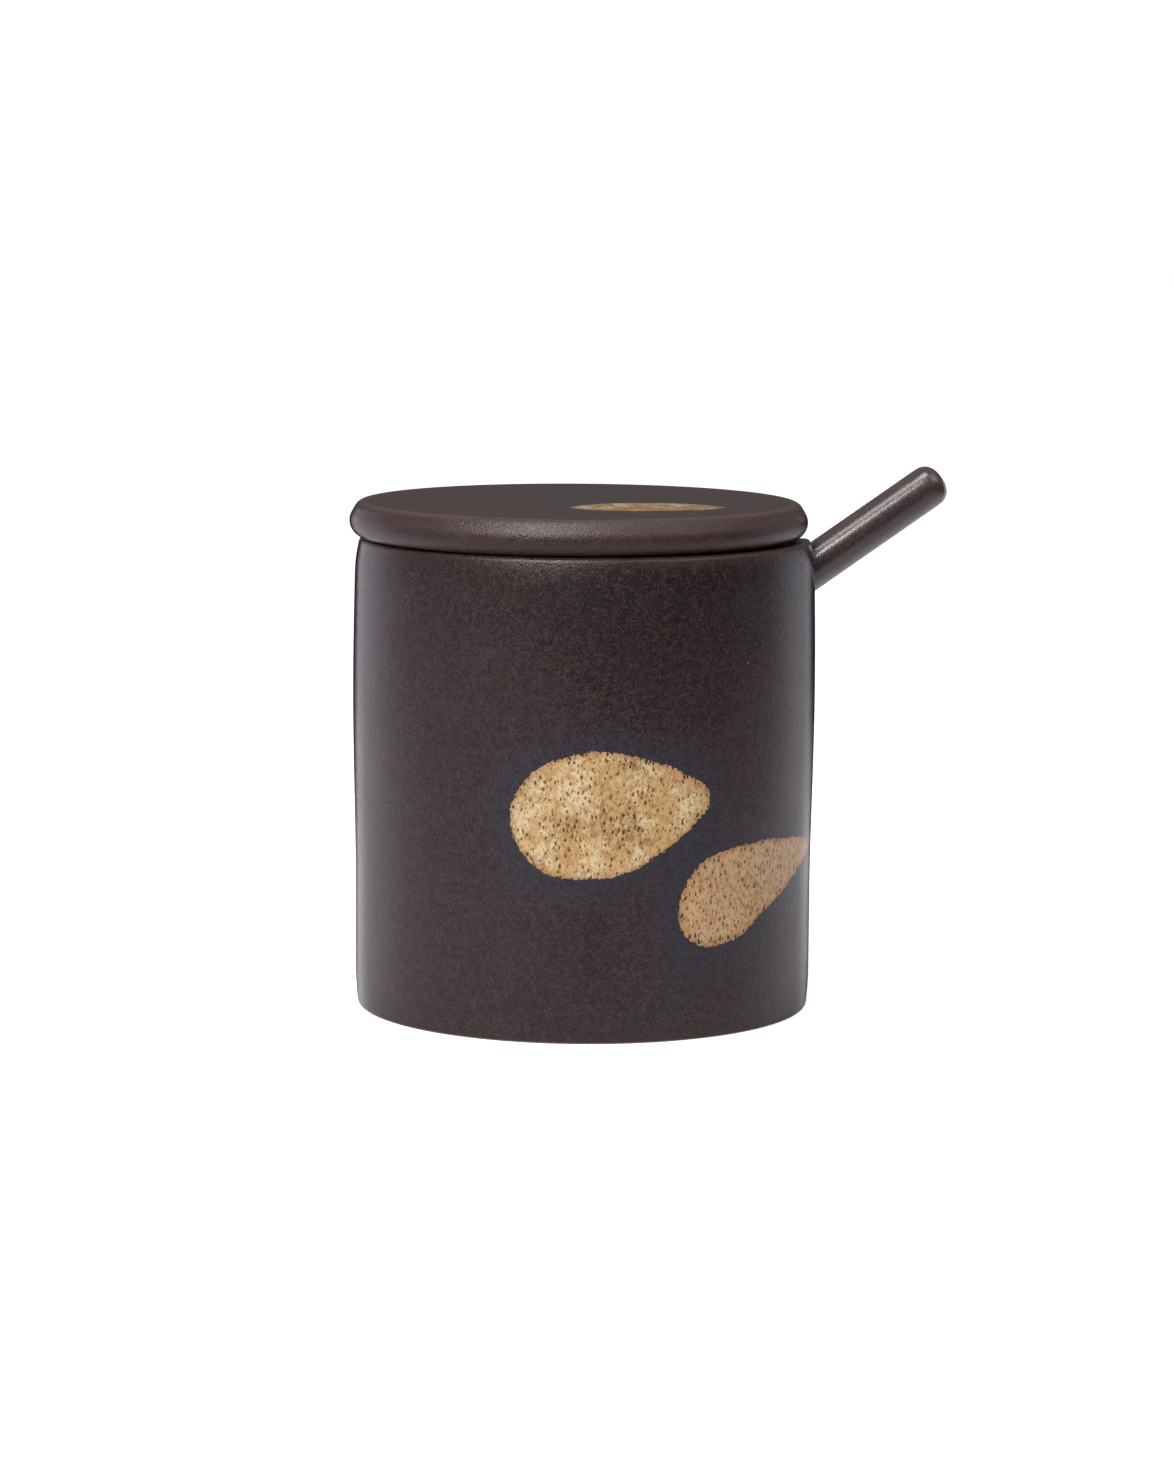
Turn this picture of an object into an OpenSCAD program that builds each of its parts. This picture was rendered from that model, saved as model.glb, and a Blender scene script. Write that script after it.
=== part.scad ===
// Stoneware jam pot: a round pot, a flanged disc lid and a spoon that leans out through a notch
// in the rim. The origin is on the table in the middle of the foot, and the notch lies towards +X.
// The side view of the spoon is drawn in [x, z] points, in the plane y = 0.

/* [Pot] */
// Outside diameter of the wall, without the belly
pot_d = 89.4; // [86:0.1:96]
// Height from the table to the rim
pot_h = 92; // [88:0.5:102]
// Thickness of the wall
wall = 4.5; // [3.5:0.1:5.5]
// Thickness of the floor
floor_t = 5; // [4:0.1:7]
// Radius where the floor turns up into the wall inside
floor_corner_r = 8; // [4:0.5:11]
// How far the belly swells beyond the wall
belly_out = 0.55; // [0:0.05:1]
// Height of the widest ring of the belly
belly_z = 62; // [54:1:68]
// Height over which the belly runs out, above that ring and below it
belly_reach = 40; // [30:1:46]
// Height of the shoulder, where the wall draws in below the rim
shoulder_h = 7; // [4:0.5:12]
// How far the shoulder draws in
shoulder_in = 0.9; // [0:0.1:1.3]
// Radius of the outer edge of the rim
rim_out_r = 1.2; // [0.6:0.1:1.4]
// Radius of the inner edge of the rim
rim_in_r = 0.8; // [0.4:0.1:1.2]

/* [Foot] */
// Width of the flat ring that the pot stands on
foot_w = 7; // [4:0.5:12]
// Depth of the hollow inside that ring
foot_hollow = 1.5; // [0.8:0.1:2.5]
// Radius of the outer edge of the foot
foot_edge_r = 0.8; // [0.4:0.1:1.4]
// Height over which the wall draws in to the foot
foot_taper_h = 8; // [4:0.5:14]
// How far it draws in there
foot_taper_in = 0.45; // [0:0.05:0.9]

/* [Spoon notch] */
// Depth of the notch below the rim
notch_depth = 14.9; // [13:0.1:18]
// Gap between the handle and each side of the notch
notch_gap = 0.6; // [0.4:0.1:1.4]
// How far the rounding of the notch's edge runs out past each face of the wall
notch_edge_out = 0.75; // [0.6:0.05:1.2]
// Radius of the corners between the notch and the rim
notch_corner_r = 4; // [1:0.5:6]

/* [Lid] */
// How far the edge of the lid reaches past the wall of the pot
lid_over = 0; // [-0.8:0.1:2]
// Thickness of the lid
lid_t = 7; // [6:0.1:10]
// Radius of the lower edge
lid_low_r = 3.2; // [2:0.1:3.6]
// Radius of the upper edge
lid_top_r = 2; // [1:0.1:2.4]
// Angle at which the side leans in between the two edges
lid_lean = 30; // [0:1:38]
// Depth of the flange that centres the lid in the pot
flange_h = 5; // [3:0.1:6]
// Thickness of the flange
flange_t = 3; // [2.4:0.1:5]
// Gap between the flange and the wall of the pot
flange_gap = 1.6; // [0.8:0.1:2.4]
// Radius of both lower edges of the flange
flange_edge_r = 0.9; // [0.4:0.1:1.1]
// Radius in the corner between the flange and the underside of the lid
flange_root_r = 1.5; // [0.5:0.1:1.8]
// Share of the flange's gap by which the lid lies off centre, away from the notch
lid_slide_share = 0.8; // [0:0.05:0.9]

/* [Spoon] */
// Diameter of the handle
handle_d = 8.4; // [7.4:0.1:9.4]
// Slope of the handle where it leans in the notch
handle_slope = 33.7; // [30:0.1:38]
// Length of the handle outside the point where it rests
handle_out = 40.4; // [25:0.1:55]
// Radius of the edge round the end of the handle
handle_end_r = 3; // [1:0.1:3.4]
// Length of the handle inside that point, up to the bend
handle_in = 6; // [4:0.5:9]
// Radius of the bend
bend_r = 26; // [18:0.5:32]
// Slope of the shank below the bend
shank_slope = 65; // [60:0.5:70]
// Length of the neck and the bowl together
bowl_len = 34; // [28:0.5:36]
// Width of the bowl across the middle of its wall
bowl_w = 26; // [20:0.5:28]
// Height of the bowl's side edges above the middle of its wall
bowl_depth = 8; // [4:0.5:10]
// Thickness of the bowl
bowl_t = 3.6; // [2.8:0.1:4.4]
// Slope at the tip of the bowl, below zero where it turns up
tip_slope = -5; // [-15:1:10]
// Gap left where the spoon rests in the notch and on the floor
rest_gap = 0.3; // [0.2:0.05:0.5]

/* [Hidden] */
$fn = 96;
glaze = [0.30, 0.23, 0.18];
// How far a cut runs past the face that it opens
overrun = 3;

// Steps in which curves are drawn: the side of the pot, a rounded edge, the bend of the spoon,
// its neck and the front of its bowl, and the sides of the spoon's rings
side_steps = 30;
edge_steps = 6;
bend_steps = 8;
neck_steps = 14;
front_steps = 12;
ring_sides = 24;

// The inside of the pot
inner_r = pot_d / 2 - wall;
floor_z = foot_hollow + floor_t;

// The notch: half its width, the radius across its edge, and the middle of that edge at its floor
notch_r = handle_d / 2 + notch_gap;
notch_edge_r = wall / 2 + notch_edge_out;
notch_edge_mid = [inner_r + wall / 2, pot_h - notch_depth - notch_edge_r];

// The lid
lid_r = pot_d / 2 + lid_over;
flange_r = inner_r - flange_gap;
flange_in_r = flange_r - flange_t;
lid_slide = lid_slide_share * flange_gap;

// Directions in the side view: up along a slope, and square to it on its upper side
function along(slope) = [cos(slope), sin(slope)];
function above(slope) = [-sin(slope), cos(slope)];

// Points of an arc about mid, from angle a0 to angle a1
function arc(mid, r, a0, a1, steps = edge_steps) =
    [for (i = [0:steps]) mid + r * along(a0 + (a1 - a0) * i / steps)];

// Outside radius of the pot at height z: the plain wall with its belly, foot and shoulder
function swell(z) = abs(z - belly_z) < belly_reach ? (1 + cos(180 * (z - belly_z) / belly_reach)) / 2 : 0;
function outer_r(z) = pot_d / 2
    + belly_out * swell(z)
    - foot_taper_in * pow(max(0, 1 - z / foot_taper_h), 2)
    - shoulder_in * pow(max(0, 1 - (pot_h - z) / shoulder_h), 2);

// Angle by which the wall leans outwards at height z, taken over a short step about it
function lean(z) = atan((outer_r(z + foot_edge_r / 2) - outer_r(z - foot_edge_r / 2)) / foot_edge_r);

// Middle of an edge radius r that runs smoothly into the wall at height z
function edge_mid(z, r) = [outer_r(z) - r * cos(lean(z)), z + r * sin(lean(z))];

// Heights at which the wall runs into the edge of the foot and into the outer edge of the rim
foot_lean = lean(foot_edge_r);
rim_lean = lean(pot_h - rim_out_r);
side_low_z = foot_edge_r * (1 - sin(foot_lean));
side_high_z = pot_h - rim_out_r * (1 + sin(rim_lean));

module pot_section() {
    foot_mid = edge_mid(side_low_z, foot_edge_r);
    rim_mid = edge_mid(side_high_z, rim_out_r);
    foot_in_r = foot_mid.x - foot_w;
    polygon(concat(
        [[0, foot_hollow], [foot_in_r - foot_hollow, foot_hollow], [foot_in_r, 0]],
        arc([foot_mid.x, foot_edge_r], foot_edge_r, -90, -foot_lean),
        [for (i = [1:side_steps - 1])
            let (z = side_low_z + (side_high_z - side_low_z) * i / side_steps)
            [outer_r(z), z]],
        arc([rim_mid.x, pot_h - rim_out_r], rim_out_r, -rim_lean, 90),
        arc([inner_r + rim_in_r, pot_h - rim_in_r], rim_in_r, 90, 180),
        arc([inner_r - floor_corner_r, floor_z + floor_corner_r], floor_corner_r, 0, -90),
        [[0, floor_z]]
    ));
}

// Outline of the notch seen along its depth: as wide as it is at each point through the wall
module notch_outline() {
    difference() {
        square([2 * (notch_r + notch_edge_r), wall + 2 * overrun], center = true);
        for (side = [-1, 1])
            translate([side * (notch_r + notch_edge_r), 0]) circle(r = notch_edge_r);
    }
}

// The rounded corners between the notch and the rim, cut straight through the wall
module notch_corners() {
    reach = notch_r + notch_corner_r;
    rotate([90, 0, 90])
        linear_extrude(height = wall + 2 * overrun, center = true)
            difference() {
                translate([-reach, -notch_corner_r]) square([2 * reach, notch_corner_r + overrun]);
                for (side = [-1, 1])
                    translate([side * reach, -notch_corner_r]) circle(r = notch_corner_r);
            }
}

module notch_cut() {
    round_z = pot_h - notch_depth + notch_r;
    translate([notch_edge_mid.x, 0, round_z]) {
        rotate([0, 90, 0])
            rotate_extrude()
                intersection() {
                    notch_outline();
                    translate([0, -pot_d / 2]) square([pot_d / 2, pot_d]);
                }
        rotate([0, 0, 90])
            linear_extrude(height = notch_depth - notch_r + overrun) notch_outline();
    }
    translate([notch_edge_mid.x, 0, pot_h]) notch_corners();
}

module pot() {
    color(glaze)
        difference() {
            rotate_extrude() pot_section();
            notch_cut();
        }
}

// Half section of the lid, with its underside at height zero
module lid_section() {
    low_mid = [lid_r - lid_low_r, lid_low_r];
    // The upper edge touches the leaning side that runs off the lower edge
    top_y = lid_t - lid_top_r;
    top_x = (low_mid * along(lid_lean) + lid_low_r - lid_top_r - top_y * sin(lid_lean)) / cos(lid_lean);
    polygon(concat(
        [[0, 0]],
        arc([flange_in_r - flange_root_r, -flange_root_r], flange_root_r, 90, 0),
        arc([flange_in_r + flange_edge_r, flange_edge_r - flange_h], flange_edge_r, 180, 270),
        arc([flange_r - flange_edge_r, flange_edge_r - flange_h], flange_edge_r, -90, 0),
        [[flange_r, 0]],
        arc(low_mid, lid_low_r, -90, lid_lean, 2 * edge_steps),
        arc([top_x, top_y], lid_top_r, lid_lean, 90),
        [[0, lid_t]]
    ));
}

module lid() {
    color(glaze)
        translate([-lid_slide, 0, pot_h])
            rotate_extrude() lid_section();
}

// The spoon in side view: where its handle rests, and the two ends and the middle of its bend
handle_r = handle_d / 2;
rest_at = notch_edge_mid + (notch_edge_r + rest_gap + handle_r) * above(handle_slope);
bend_top = rest_at - handle_in * along(handle_slope);
bend_mid = bend_top - bend_r * above(handle_slope);
bend_low = bend_mid + bend_r * above(shank_slope);

// The spoon is one loft of rings about a line in the side view. A ring has the point where that
// line passes, the slope there, half its width, half its thickness and how far its sides rise.
// A roundness of 1 is an ellipse, and a lower one keeps the wall thick up to a rounded edge.
function ring(mid, slope, half_w, half_t, rise = 0, roundness = 1) = [for (i = [0:ring_sides - 1])
    let (
        a = 360 * i / ring_sides,
        across = cos(a),
        through = half_t * sign(sin(a)) * pow(abs(sin(a)), roundness),
        tilt = atan2(2 * rise * across, half_w),
        p = mid + (rise * pow(across, 2) + through * cos(tilt)) * above(slope)
    )
    [p.x, half_w * across - through * sin(tilt), p.y]];

handle_end_rings = [for (i = [0:edge_steps])
    let (
        r = handle_r - handle_end_r * (1 - sin(90 * i / edge_steps)),
        back = handle_end_r * (1 - cos(90 * i / edge_steps))
    )
    ring(rest_at + (handle_out - back) * along(handle_slope), handle_slope, r, r)];

bend_rings = [for (i = [0:bend_steps])
    let (slope = handle_slope + (shank_slope - handle_slope) * i / bend_steps)
    ring(bend_mid + bend_r * above(slope), slope, handle_r, handle_r)];

// The neck and bowl run from 0, at the end of the shank, to 1, at the tip, along an arc. At
// wide_share the bowl is at its widest, and from there on its outline rounds off to the tip.
wide_share = 0.58;
neck_share = 0.1;
thin_share = 0.45;
cup_share = 0.15;
bowl_roundness = 0.55;
bowl_turn_r = bowl_len / ((shank_slope - tip_slope) * PI / 180);
front_len = bowl_len * (1 - wide_share);
front_lift = max(0, bowl_depth - pow(front_len, 2) / (2 * bowl_turn_r));
tip_round_share = bowl_t / 2 / bowl_len;

function clip(s) = min(max(s, 0), 1);
function ease(s, s0, s1) = (1 - cos(180 * clip((s - s0) / (s1 - s0)))) / 2;
function run_out(s, s0) = sqrt(1 - pow(clip((s - s0) / (1 - s0)), 2));
function blend(a, b, share) = a + (b - a) * share;
function bowl_slope(s) = blend(shank_slope, tip_slope, s);
function front_rise(s) = front_lift * pow(clip((s - wide_share) / (1 - wide_share)), 2);
function bowl_mid(s) = bowl_turn_r * (above(shank_slope) - above(bowl_slope(s)))
    + front_rise(s) * above(bowl_slope(s));
function bowl_ring(at, s) = ring(
    at + bowl_mid(s),
    bowl_slope(s),
    blend(handle_r, bowl_w / 2, ease(s, neck_share, wide_share)) * run_out(s, wide_share),
    blend(handle_r, bowl_t / 2, ease(s, 0, thin_share)) * run_out(s, 1 - tip_round_share),
    bowl_depth * ease(s, cup_share, wide_share) * pow(run_out(s, wide_share), 2),
    blend(1, bowl_roundness, ease(s, neck_share, wide_share))
);
bowl_stations = concat(
    [for (i = [0:neck_steps]) wide_share * i / neck_steps],
    [for (i = [1:front_steps - 1]) blend(wide_share, 1, sin(90 * i / front_steps))]
);

// The shank is as long as it takes for the lowest point of the bowl to rest on the floor
bowl_low_z = min([for (s = bowl_stations, p = bowl_ring([0, 0], s)) p.z]);
neck_z = floor_z + rest_gap - bowl_low_z;
neck_at = bend_low - (bend_low.y - neck_z) / sin(shank_slope) * along(shank_slope);

module spoon() {
    rings = concat(
        handle_end_rings,
        bend_rings,
        [for (s = bowl_stations) bowl_ring(neck_at, s)]
    );
    tip = neck_at + bowl_mid(1);
    points = concat([for (r = rings) each r], [[tip.x, 0, tip.y]]);
    n = ring_sides;
    last = len(points) - 1;
    end_face = [for (i = [n - 1:-1:0]) i];
    side_faces = [for (row = [0:len(rings) - 2], i = [0:n - 1])
        let (a = row * n + i, b = row * n + (i + 1) % n)
        each [[a, b, b + n], [a, b + n, a + n]]];
    tip_faces = [for (i = [0:n - 1]) [last - n + i, last - n + (i + 1) % n, last]];
    color(glaze) polyhedron(points = points, faces = concat([end_face], side_faces, tip_faces));
}

pot();
lid();
spoon();
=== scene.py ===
"""Looks of a stoneware jam pot: pot, lid and spoon, thrown or drawn out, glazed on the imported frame."""

import logging
import math
from collections.abc import Callable
from dataclasses import dataclass, field
from enum import Enum

import bpy
from mathutils import Matrix, Vector

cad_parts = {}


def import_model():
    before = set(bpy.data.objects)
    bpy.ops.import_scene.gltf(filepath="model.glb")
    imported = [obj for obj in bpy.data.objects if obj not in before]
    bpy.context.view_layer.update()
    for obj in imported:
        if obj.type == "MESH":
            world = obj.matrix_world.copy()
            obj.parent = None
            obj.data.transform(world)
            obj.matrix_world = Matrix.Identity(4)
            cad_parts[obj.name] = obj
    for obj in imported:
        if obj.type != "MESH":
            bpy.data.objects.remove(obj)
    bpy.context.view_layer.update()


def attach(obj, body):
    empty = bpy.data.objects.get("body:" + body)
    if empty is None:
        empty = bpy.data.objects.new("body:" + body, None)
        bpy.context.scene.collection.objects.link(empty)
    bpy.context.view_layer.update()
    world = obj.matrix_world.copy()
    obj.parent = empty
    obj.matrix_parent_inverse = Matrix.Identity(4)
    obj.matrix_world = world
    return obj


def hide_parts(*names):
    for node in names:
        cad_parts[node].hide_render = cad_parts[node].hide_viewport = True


MM = 0.001
SMOOTH_ANGLE = 60
MERGE_WITHIN = 0.001
ON_AXIS = 1e-6

Point = tuple[float, float]
Colour = tuple[float, float, float, float]
Thing = bpy.types.Object
Socket = bpy.types.NodeSocket
Sockets = dict[str, Socket]
Value = Socket | float | tuple

log = logging.getLogger("jam_pot")


class Body(Enum):
    """The frame's bodies, by the names of their nodes."""

    POT = "pot"
    LID = "lid"
    SPOON = "spoon"

    @property
    def glaze_slot(self) -> str:
        """The record's material slot of this body's glaze."""
        return f"{self.value}_glaze"


class Space(Enum):
    """Where spots lie: on a surface that is drawn flat, or all through the clay."""

    FLAT = "2D"
    SOLID = "3D"


def swatch(red: int, green: int, blue: int) -> Colour:
    """Turns a colour read off a swatch into the light that it reflects.

    Args:
        red: Red, from 0 to 255.
        green: Green, from 0 to 255.
        blue: Blue, from 0 to 255.

    Returns:
        The linear colour, with a full alpha.
    """
    shares = [part / 255 for part in (red, green, blue)]
    linear = [s / 12.92 if s <= 0.04045 else ((s + 0.055) / 1.055) ** 2.4 for s in shares]
    return (*linear, 1.0)


def grey(level: float) -> Colour:
    """A neutral colour that reflects a share of the light."""
    return (level, level, level, 1.0)


def clip(share: float) -> float:
    """Holds a share between 0 and 1."""
    return min(max(share, 0.0), 1.0)


def ease(share: float) -> float:
    """Starts and ends a share from 0 to 1 softly."""
    return (1 - math.cos(math.pi * clip(share))) / 2


def between(low: float, high: float, share: float) -> float:
    """The value at a share of the way from low to high."""
    return low + (high - low) * share


def bump_at(place: float, middle: float, reach: float) -> float:
    """A soft hump of 1 at its middle, which fades away over a reach on both sides."""
    return math.exp(-(((place - middle) / reach) ** 2))


def towards(azimuth: float, rise: float) -> Vector:
    """The direction from the object to a viewer at an azimuth and a rise in degrees."""
    a, e = math.radians(azimuth), math.radians(rise)
    return Vector((math.sin(a) * math.cos(e), -math.cos(a) * math.cos(e), math.sin(e)))


def arc(mid: Point, radius: float, start: float, end: float, steps: int) -> list[Point]:
    """Draws an arc of a half section.

    Args:
        mid: Its middle, as (radius, height).
        radius: Its radius.
        start: The angle in degrees at which it starts, from outwards.
        end: The angle at which it ends.
        steps: How many lines it has.

    Returns:
        Its points, both ends included.
    """
    turns = [math.radians(between(start, end, i / steps)) for i in range(steps + 1)]
    return [(mid[0] + radius * math.cos(a), mid[1] + radius * math.sin(a)) for a in turns]


def run(start: Point, end: Point, step: float) -> list[Point]:
    """Draws a straight line of a half section without its two ends.

    Args:
        start: The point that it leaves.
        end: The point that it reaches.
        step: The length of its pieces.

    Returns:
        The points between the two.
    """
    count = max(1, round(math.dist(start, end) / step))
    shares = [i / count for i in range(1, count)]
    return [(between(start[0], end[0], s), between(start[1], end[1], s)) for s in shares]


class Bench:
    """The modelling bench, with one piece on it at a time."""

    @staticmethod
    def take(piece: Thing | None) -> None:
        """Takes one piece in hand, or none, and lets go of all else, the frame's nodes among it.

        Args:
            piece: The piece, or None.
        """
        bpy.ops.object.select_all(action="DESELECT")
        if piece:
            piece.select_set(True)
            bpy.context.view_layer.objects.active = piece

    @classmethod
    def open(cls, piece: Thing, faces: bool) -> None:
        """Opens a piece for editing.

        Args:
            piece: The piece.
            faces: True with all its faces selected, False with none of its edges.
        """
        cls.take(piece)
        bpy.ops.object.mode_set(mode="EDIT")
        bpy.ops.mesh.select_mode(type="FACE" if faces else "EDGE")
        bpy.ops.mesh.select_all(action="SELECT" if faces else "DESELECT")

    @staticmethod
    def close() -> None:
        """Merges the doubled corners of the open piece, turns its faces outwards and closes it."""
        bpy.ops.mesh.select_all(action="SELECT")
        bpy.ops.mesh.remove_doubles(threshold=MERGE_WITHIN * MM)
        bpy.ops.mesh.normals_make_consistent(inside=False)
        bpy.ops.object.mode_set(mode="OBJECT")

    @classmethod
    def start(cls, name: str, corners: int, radius: float, filled: bool) -> Thing:
        """Adds the ring that a piece is made from.

        Args:
            name: The piece's name.
            corners: How many corners the ring has.
            radius: Its radius in millimetres.
            filled: True for a disc, False for its edge alone.

        Returns:
            The new piece.
        """
        cls.take(None)
        fill = "NGON" if filled else "NOTHING"
        bpy.ops.mesh.primitive_circle_add(
            vertices=corners, radius=radius * MM, fill_type=fill, location=(0, 0, 0)
        )
        piece = bpy.context.object
        piece.name = piece.data.name = name
        return piece

    @staticmethod
    def lay(piece: Thing, points: list[Vector]) -> None:
        """Lays the corners of a piece on points, in their order.

        Args:
            piece: The piece.
            points: One point for each corner, in millimetres.
        """
        for corner, point in zip(piece.data.vertices, points, strict=True):
            corner.co = point * MM
        piece.data.update()

    @classmethod
    def throw(cls, name: str, section: list[Point], turns: int) -> Thing:
        """Throws a round piece: its half section is drawn, and spun about the upright axis.

        Args:
            name: The piece's name.
            section: Points (radius, height) in millimetres that start and end on the axis.
            turns: How many steps the spin has.

        Returns:
            The closed piece, its faces outwards.
        """
        piece = cls.start(name, len(section), max(r for r, _ in section), filled=False)
        cls.lay(piece, [Vector((r, 0, z)) for r, z in section])
        cls.open(piece, faces=False)
        bpy.ops.object.mode_set(mode="OBJECT")
        for edge in piece.data.edges:
            edge.select = all(piece.data.vertices[i].co.x < ON_AXIS * MM for i in edge.vertices)
        bpy.ops.object.mode_set(mode="EDIT")
        bpy.ops.mesh.delete(type="EDGE")
        bpy.ops.mesh.select_all(action="SELECT")
        bpy.ops.mesh.spin(steps=turns, angle=math.tau, center=(0, 0, 0), axis=(0, 0, 1))
        cls.close()
        return piece

    @classmethod
    def draw_out(cls, name: str, rings: list[list[Vector]], tip: Vector) -> Thing:
        """Draws a piece out of a disc: it is extruded ring by ring, and each is laid in its place.

        Args:
            name: The piece's name.
            rings: The rings in millimetres, each with as many points, the disc's own first.
            tip: The point that closes the far end.

        Returns:
            The closed piece, its faces outwards.
        """
        sides = len(rings[0])
        piece = cls.start(name, sides, 1.0, filled=True)
        cls.open(piece, faces=True)
        for _ in rings[1:]:
            bpy.ops.mesh.extrude_region_move(TRANSFORM_OT_translate={"value": (0, 0, MM)})
        bpy.ops.object.mode_set(mode="OBJECT")
        ordered = []
        for corner in piece.data.vertices:
            turn = math.atan2(corner.co.y, corner.co.x) / math.tau
            ordered.append(rings[round(corner.co.z / MM)][round(turn * sides) % sides])
        cls.lay(piece, ordered)
        bpy.ops.object.mode_set(mode="EDIT")
        bpy.ops.mesh.merge(type="CENTER")
        cls.close()
        nearest = min(piece.data.vertices, key=lambda v: (v.co - tip * MM).length)
        nearest.co = tip * MM
        return piece

    @classmethod
    def refine(cls, piece: Thing, levels: int) -> None:
        """Rounds a piece with a subdivision surface, and applies it.

        Args:
            piece: The piece.
            levels: How many times its faces are divided.
        """
        cls.take(piece)
        rounding = piece.modifiers.new("rounding", "SUBSURF")
        rounding.levels = rounding.render_levels = levels
        bpy.ops.object.modifier_apply(modifier=rounding.name)

    @classmethod
    def smooth(cls, piece: Thing) -> None:
        """Shades the piece smooth, apart from its sharp edges."""
        cls.take(piece)
        bpy.ops.object.shade_smooth_by_angle(angle=math.radians(SMOOTH_ANGLE))

    @staticmethod
    def note(piece: Thing, name: str, amount: Callable[[Vector], float]) -> None:
        """Writes an amount from 0 to 1 on each corner, for the glaze to read.

        Args:
            piece: The piece.
            name: The attribute's name.
            amount: Tells the amount from a corner's place in millimetres.
        """
        attribute = piece.data.attributes.new(name, "FLOAT", "POINT")
        for corner, item in zip(piece.data.vertices, attribute.data, strict=True):
            item.value = clip(amount(corner.co / MM))


class Wiring:
    """Sets shader nodes in a tree and joins them, so that a finish reads like a sum."""

    per_row = 12
    spacing = (180, -220)

    def __init__(self, tree: bpy.types.NodeTree) -> None:
        """Starts on a tree, whose nodes are laid out in rows."""
        self.tree = tree
        self.count = 0

    def node(self, kind: str, *values: Value, **settings: object) -> bpy.types.Node:
        """Adds a node.

        Args:
            kind: The node's type, without ShaderNode at its front.
            *values: What its first inputs get.
            **settings: Its settings by name.

        Returns:
            The new node.
        """
        node = self.tree.nodes.new(kind if kind.startswith("NodeGroup") else f"ShaderNode{kind}")
        row, column = divmod(self.count, self.per_row)
        node.location = (self.spacing[0] * column, self.spacing[1] * row)
        self.count += 1
        for name, value in settings.items():
            setattr(node, name, value)
        for socket, value in zip(node.inputs, values):
            self.put(socket, value)
        return node

    def put(self, socket: Socket, value: Value) -> None:
        """Joins a socket to another, or sets its value.

        Args:
            socket: The input.
            value: The output that feeds it, or its value.
        """
        if isinstance(value, Socket):
            self.tree.links.new(value, socket)
        else:
            socket.default_value = value

    def feed(self, node: bpy.types.Node, **values: Value) -> bpy.types.Node:
        """Feeds a node's inputs by name.

        Args:
            node: The node.
            **values: What the inputs get, with _ for a space in a name.

        Returns:
            The node.
        """
        for name, value in values.items():
            self.put(node.inputs[name.replace("_", " ")], value)
        return node

    def sum(self, operation: str, *values: Value) -> Socket:
        """The result of a Math node."""
        return self.node("Math", *values, operation=operation).outputs[0]

    def plus(self, first: Value, second: Value) -> Socket:
        """Two values added."""
        return self.sum("ADD", first, second)

    def minus(self, first: Value, second: Value) -> Socket:
        """The second value taken from the first."""
        return self.sum("SUBTRACT", first, second)

    def times(self, first: Value, second: Value) -> Socket:
        """Two values multiplied."""
        return self.sum("MULTIPLY", first, second)

    def over(self, first: Value, second: Value) -> Socket:
        """The first value divided by the second."""
        return self.sum("DIVIDE", first, second)

    def reach(self, x: Value, y: Value) -> Socket:
        """The distance of a point from the middle."""
        return self.sum("SQRT", self.plus(self.times(x, x), self.times(y, y)))

    def vector(self, operation: str, first: Value, second: Value) -> Socket:
        """Adds a Vector Math node.

        Args:
            operation: Its operation.
            first: The first vector.
            second: The second vector, or a number for SCALE.

        Returns:
            The result.
        """
        node = self.node("VectorMath", first, operation=operation)
        self.put(node.inputs[3 if operation == "SCALE" else 1], second)
        return node.outputs[0]

    def shifted(self, place: Value, *by: float) -> Socket:
        """A place moved by a fixed X, Y and Z, to reach other noise."""
        return self.vector("ADD", place, by)

    def parts(self, vector: Value) -> list[Socket]:
        """The X, Y and Z of a vector."""
        return list(self.node("SeparateXYZ", vector).outputs)

    def joined(self, x: Value, y: Value) -> Socket:
        """The vector of two values on a flat surface."""
        return self.node("CombineXYZ", x, y).outputs[0]

    def turned(self, place: Value, degrees: float) -> Socket:
        """Turns a place about the upright axis.

        Args:
            place: The place.
            degrees: How far it is turned.

        Returns:
            The turned place.
        """
        node = self.node("Mapping", place, vector_type="POINT")
        node.inputs["Rotation"].default_value = (0, 0, math.radians(degrees))
        return node.outputs[0]

    def slope(
        self, value: Value, low: Value, high: Value, start: Value = 0.0, end: Value = 1.0
    ) -> Socket:
        """Eases from one value to another while an input goes from low to high.

        Args:
            value: The input.
            low: Where it starts, the larger one to run backwards.
            high: Where it ends.
            start: The value at low.
            end: The value at high.

        Returns:
            The eased value.
        """
        values = (value, low, high, start, end)
        return self.node("MapRange", *values, interpolation_type="SMOOTHSTEP").outputs[0]

    def mix(self, share: Value, first: Value, second: Value) -> Socket:
        """Mixes two colours.

        Args:
            share: The share of the second.
            first: The first colour.
            second: The second colour.

        Returns:
            The mixed colour.
        """
        node = self.node("Mix", share, data_type="RGBA", clamp_factor=True)
        self.put(node.inputs[6], first)
        self.put(node.inputs[7], second)
        return node.outputs[2]

    def noise(self, place: Value, size: Value, detail: float, rough: float) -> list[Socket]:
        """Adds noise.

        Args:
            place: The place, in millimetres.
            size: The distance between its forms, in millimetres.
            detail: How many finer layers it has.
            rough: How strong they are.

        Returns:
            Its value from 0 to 1, mostly near a half, and its colour, which wanders likewise.
        """
        node = self.node("TexNoise", noise_dimensions="3D")
        values = {"Vector": place, "Scale": self.over(1.0, size), "Detail": detail, "Roughness": rough}
        return list(self.feed(node, **values).outputs)

    def stir(self, place: Value, size: Value, reach: Value) -> Socket:
        """Moves a place about with noise of a size, by about a reach."""
        wander = self.vector("SUBTRACT", self.noise(place, size, 2.0, 0.55)[1], (0.5, 0.5, 0.5))
        return self.vector("ADD", place, self.vector("SCALE", wander, self.times(reach, 2.0)))

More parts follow.
